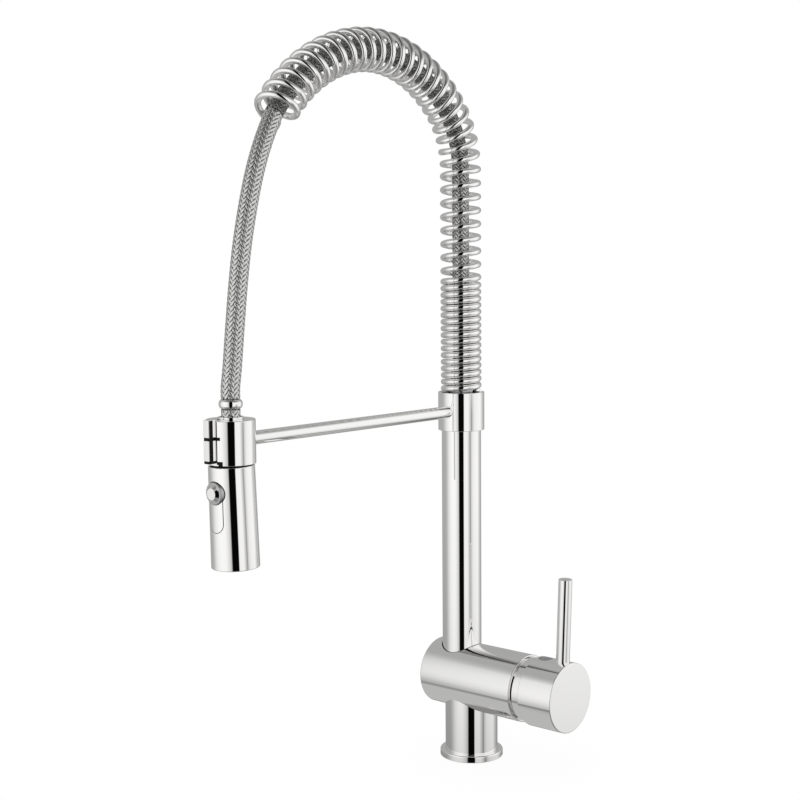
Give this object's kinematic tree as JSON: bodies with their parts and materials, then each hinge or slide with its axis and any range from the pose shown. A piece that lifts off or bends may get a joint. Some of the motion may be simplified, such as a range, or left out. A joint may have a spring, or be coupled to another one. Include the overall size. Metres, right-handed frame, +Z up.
{
  "type": "spring pull-down kitchen faucet",
  "caption": "Chrome single-lever kitchen faucet with a tall spring arch over a braided hose and a pull-down spray head held in a dock on a side arm.",
  "frame": {"origin": "centre of the base's underside on the deck", "axes": "+Z up, -Y towards the docked spray head, +X towards the handle"},
  "size_m": [0.1157, 0.2629, 0.5071],
  "materials": {
    "chrome": "polished",
    "spring_steel": "polished",
    "braid": "braided",
    "steel": "machined",
    "brass": "machined",
    "black_plastic": "matte",
    "white_plastic": "matte",
    "ceramic": "lapped",
    "rubber": "matte",
    "grey_cap": "satin",
    "silicone": "matte"
  },
  "bodies": {
    "base": {"base_gasket": "rubber", "base_ring": "chrome", "valve_body": "chrome", "riser_bush": "black_plastic", "swivel_washer": "black_plastic", "riser_screw": "steel", "cartridge_body": "white_plastic", "cartridge_seals": "rubber", "ceramic_disc_fixed": "ceramic", "cartridge_nut": "brass", "neck_ring": "chrome"},
    "yoke": {"cartridge_rotor": "white_plastic", "rotor_pin": "steel"},
    "disc": {"disc_carrier": "black_plastic", "ceramic_disc_moving": "ceramic"},
    "handle": {"cartridge_stem": "brass", "handle_cap": "chrome", "handle_screw": "steel", "index_plug": "grey_cap", "lever_pin": "chrome"},
    "spout": {"riser_spigot": "brass", "riser_seals": "rubber", "riser_tube": "chrome", "collar": "chrome", "collar_screw": "steel", "hose_nipple": "steel", "hose_crimp": "steel", "spring": "spring_steel", "hose_in_spring": "braid", "arm_rod": "chrome", "dock_sleeve": "chrome", "dock_liner": "black_plastic", "hose_drop": "braid"},
    "hose_end": {"hose_bead": "chrome", "hose_tail": "braid", "hose_nut": "brass", "hose_washer": "rubber"},
    "head": {"head_neck": "black_plastic", "head_shell": "chrome", "head_waterway": "black_plastic", "check_valve": "black_plastic", "outlet_tube": "black_plastic", "aerator": "grey_cap", "spray_plate": "silicone", "inlay": "chrome", "button_bezel": "chrome"},
    "push": {"button": "chrome", "diverter_stem": "steel"}
  },
  "joints": [
    {"name": "spout_swivel", "type": "hinge", "parent": "base", "child": "spout", "pos_m": [-0.00855, 0, 0.0581], "axis": [0, 0, 1], "continuous": true},
    {"name": "handle_turn", "type": "hinge", "parent": "base", "child": "yoke", "pos_m": [0.045, 0, 0.0579], "axis": [1, 0, 0], "range_deg": [-50, 50]},
    {"name": "handle_lift", "type": "hinge", "parent": "yoke", "child": "handle", "pos_m": [0.0514, 0, 0.0579], "axis": [0, 1, 0], "range_deg": [0, 22]},
    {"name": "disc_slide", "type": "slide", "parent": "yoke", "child": "disc", "axis": [0, 0, 1], "range_m": [0, 0.0053]},
    {"name": "head_pull", "type": "slide", "parent": "spout", "child": "hose_end", "axis": [0, 0, -1], "range_m": [0, 0.12], "stiffness_N_per_m": 30, "springref_m": -0.12, "deforming": ["hose_drop"]},
    {"name": "head_turn", "type": "hinge", "parent": "hose_end", "child": "head", "pos_m": [-0.00855, -0.2189, 0.2346], "axis": [0, -0.0323, 0.9995], "continuous": true},
    {"name": "button_press", "type": "slide", "parent": "head", "child": "push", "axis": [0, 0.9995, 0.0323], "range_m": [0, 0.002], "stiffness_N_per_m": 600, "springref_m": -0.002}
  ],
  "couplings": [
    {"joint": "disc_slide", "follows": "handle_lift", "m_per_rad": 0.01366}
  ]
}
